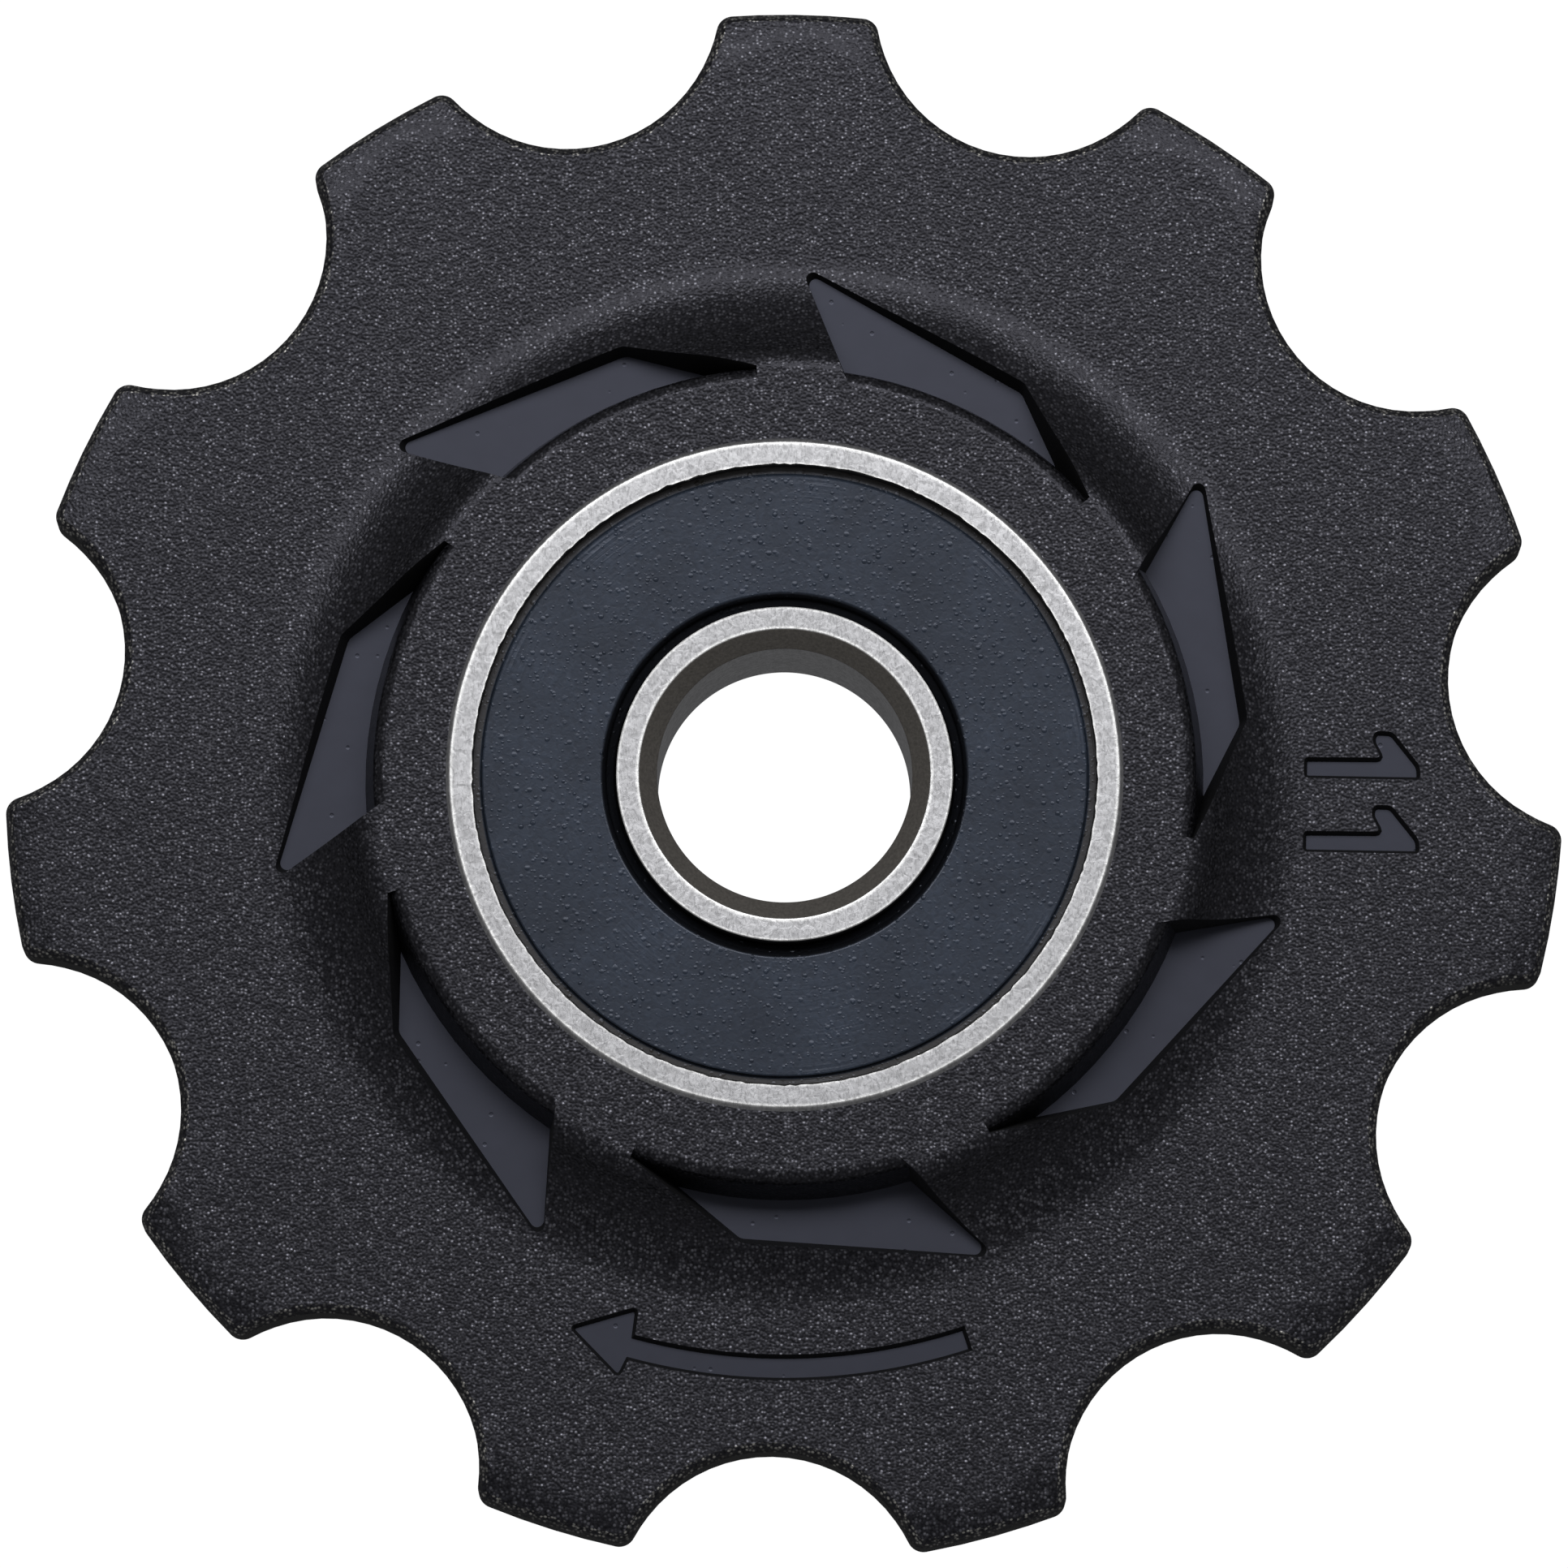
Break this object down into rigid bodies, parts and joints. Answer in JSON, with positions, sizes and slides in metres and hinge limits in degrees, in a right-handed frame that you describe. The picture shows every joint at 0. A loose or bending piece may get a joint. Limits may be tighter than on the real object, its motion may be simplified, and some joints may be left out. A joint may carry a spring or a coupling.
{
  "type": "derailleur jockey wheel",
  "caption": "Moulded toothed wheel that guides and tensions a bicycle chain, turning on a sealed ball bearing in its hub, with swept pockets around the hub.",
  "frame": {"origin": "middle of the bore, half way between the bearing's two faces", "axes": "+Z along the axle towards the front face, +Y through the middle of a tooth"},
  "size_m": [0.0428, 0.0426, 0.006],
  "materials": {
    "nylon": "fine moulded grain",
    "ring_steel": "ground",
    "seal_rubber": "moulded satin",
    "ball_steel": "polished",
    "cage_steel": "pressed sheet"
  },
  "bodies": {
    "inner_ring": {"inner_ring": "ring_steel"},
    "wheel": {"toothed_wheel": "nylon", "outer_ring": "ring_steel", "front_seal": "seal_rubber", "rear_seal": "seal_rubber"},
    "ball_cage": {"front_cage_half": "cage_steel", "rear_cage_half": "cage_steel", "cage_rivets": "cage_steel"},
    "ball_1": {"ball_1": "ball_steel"},
    "ball_2": {"ball_2": "ball_steel"},
    "ball_3": {"ball_3": "ball_steel"},
    "ball_4": {"ball_4": "ball_steel"},
    "ball_5": {"ball_5": "ball_steel"},
    "ball_6": {"ball_6": "ball_steel"},
    "ball_7": {"ball_7": "ball_steel"}
  },
  "joints": [
    {"name": "wheel_spin", "type": "hinge", "parent": "inner_ring", "child": "wheel", "pos_m": [0, 0, 0], "axis": [0, 0, 1], "continuous": true},
    {"name": "cage_orbit", "type": "hinge", "parent": "inner_ring", "child": "ball_cage", "pos_m": [0, 0, 0], "axis": [0, 0, 1], "continuous": true},
    {"name": "ball_1_spin", "type": "hinge", "parent": "ball_cage", "child": "ball_1", "pos_m": [0, 0.0065, 0], "axis": [0, 0, 1], "continuous": true},
    {"name": "ball_2_spin", "type": "hinge", "parent": "ball_cage", "child": "ball_2", "pos_m": [-0.00508, 0.00405, 0], "axis": [0, 0, 1], "continuous": true},
    {"name": "ball_3_spin", "type": "hinge", "parent": "ball_cage", "child": "ball_3", "pos_m": [-0.00634, -0.00145, 0], "axis": [0, 0, 1], "continuous": true},
    {"name": "ball_4_spin", "type": "hinge", "parent": "ball_cage", "child": "ball_4", "pos_m": [-0.00282, -0.00586, 0], "axis": [0, 0, 1], "continuous": true},
    {"name": "ball_5_spin", "type": "hinge", "parent": "ball_cage", "child": "ball_5", "pos_m": [0.00282, -0.00586, 0], "axis": [0, 0, 1], "continuous": true},
    {"name": "ball_6_spin", "type": "hinge", "parent": "ball_cage", "child": "ball_6", "pos_m": [0.00634, -0.00145, 0], "axis": [0, 0, 1], "continuous": true},
    {"name": "ball_7_spin", "type": "hinge", "parent": "ball_cage", "child": "ball_7", "pos_m": [0.00508, 0.00405, 0], "axis": [0, 0, 1], "continuous": true}
  ],
  "couplings": [
    {"joint": "cage_orbit", "follows": "wheel_spin", "ratio": 0.63462},
    {"joint": "ball_1_spin", "follows": "wheel_spin", "ratio": 1.7225},
    {"joint": "ball_2_spin", "follows": "wheel_spin", "ratio": 1.7225},
    {"joint": "ball_3_spin", "follows": "wheel_spin", "ratio": 1.7225},
    {"joint": "ball_4_spin", "follows": "wheel_spin", "ratio": 1.7225},
    {"joint": "ball_5_spin", "follows": "wheel_spin", "ratio": 1.7225},
    {"joint": "ball_6_spin", "follows": "wheel_spin", "ratio": 1.7225},
    {"joint": "ball_7_spin", "follows": "wheel_spin", "ratio": 1.7225}
  ]
}
